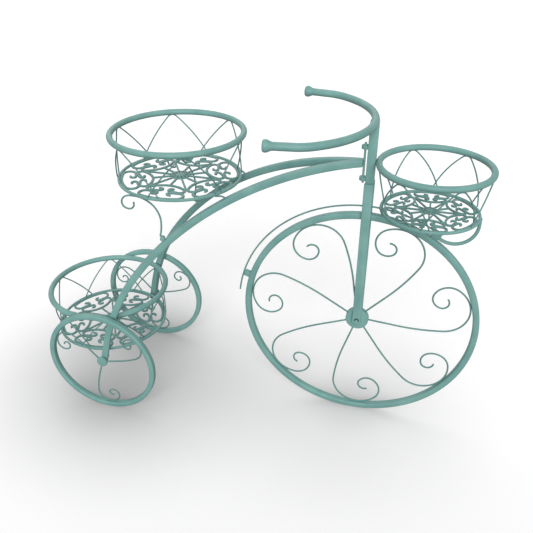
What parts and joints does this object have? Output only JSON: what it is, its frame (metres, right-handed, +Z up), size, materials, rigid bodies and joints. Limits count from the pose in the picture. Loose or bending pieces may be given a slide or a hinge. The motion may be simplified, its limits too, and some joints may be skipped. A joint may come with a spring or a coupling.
{
  "type": "bicycle planter",
  "caption": "Tricycle-shaped wire plant stand with a steering front wheel, arched frame, scroll spokes and round baskets for flower pots",
  "frame": {"origin": "middle of the footprint on the floor, under the planter", "axes": "+X forward to the front wheel, +Y to the planter's left, +Z up"},
  "size_m": [0.844, 0.312, 0.5967],
  "materials": {
    "painted_steel": "satin sage-teal paint on mild steel tube, rod and strip"
  },
  "bodies": {
    "rear_frame": {"beam_left": "painted_steel", "beam_right": "painted_steel", "bracket_lug_left": "painted_steel", "bracket_lug_right": "painted_steel", "bracket_scroll_left": "painted_steel", "bracket_scroll_right": "painted_steel", "front_stay_left": "painted_steel", "front_stay_right": "painted_steel", "hinge_pin": "painted_steel", "lower_basket_arches": "painted_steel", "lower_basket_bottom_ring": "painted_steel", "lower_basket_floor_scrolls": "painted_steel", "lower_basket_floor_star": "painted_steel", "lower_basket_rim": "painted_steel", "rear_axle_left": "painted_steel", "rear_axle_right": "painted_steel", "upper_basket_arches": "painted_steel", "upper_basket_bottom_ring": "painted_steel", "upper_basket_floor_scrolls": "painted_steel", "upper_basket_floor_star": "painted_steel", "upper_basket_rim": "painted_steel"},
    "front_frame": {"fender_tab": "painted_steel", "fender_wire": "painted_steel", "fork_leg_left": "painted_steel", "fork_leg_right": "painted_steel", "front_axle_bolt": "painted_steel", "front_axle_nut": "painted_steel", "front_basket_arches": "painted_steel", "front_basket_block": "painted_steel", "front_basket_bottom_ring": "painted_steel", "front_basket_floor_scrolls": "painted_steel", "front_basket_floor_star": "painted_steel", "front_basket_hook": "painted_steel", "front_basket_rim": "painted_steel", "front_wheel_hub": "painted_steel", "front_wheel_rim": "painted_steel", "front_wheel_spokes": "painted_steel", "handlebar": "painted_steel", "handlebar_cap_left": "painted_steel", "handlebar_cap_right": "painted_steel", "hinge_eyes": "painted_steel", "post": "painted_steel"},
    "rear_wheel_left": {"rear_wheel_hub_left": "painted_steel", "rear_wheel_rim_left": "painted_steel", "rear_wheel_spokes_left": "painted_steel"},
    "rear_wheel_right": {"rear_wheel_hub_right": "painted_steel", "rear_wheel_rim_right": "painted_steel", "rear_wheel_spokes_right": "painted_steel"}
  },
  "joints": [
    {"name": "steering", "type": "hinge", "parent": "rear_frame", "child": "front_frame", "pos_m": [0.19463, 0, 0.5199], "axis": [0, 0, 1], "range_deg": [-45, 45]},
    {"name": "wheel_left_spin", "type": "hinge", "parent": "rear_frame", "child": "rear_wheel_left", "pos_m": [-0.26407, 0.12736, 0.11], "axis": [0, 1, 0], "continuous": true},
    {"name": "wheel_right_spin", "type": "hinge", "parent": "rear_frame", "child": "rear_wheel_right", "pos_m": [-0.26407, -0.12736, 0.11], "axis": [0, 1, 0], "continuous": true}
  ]
}
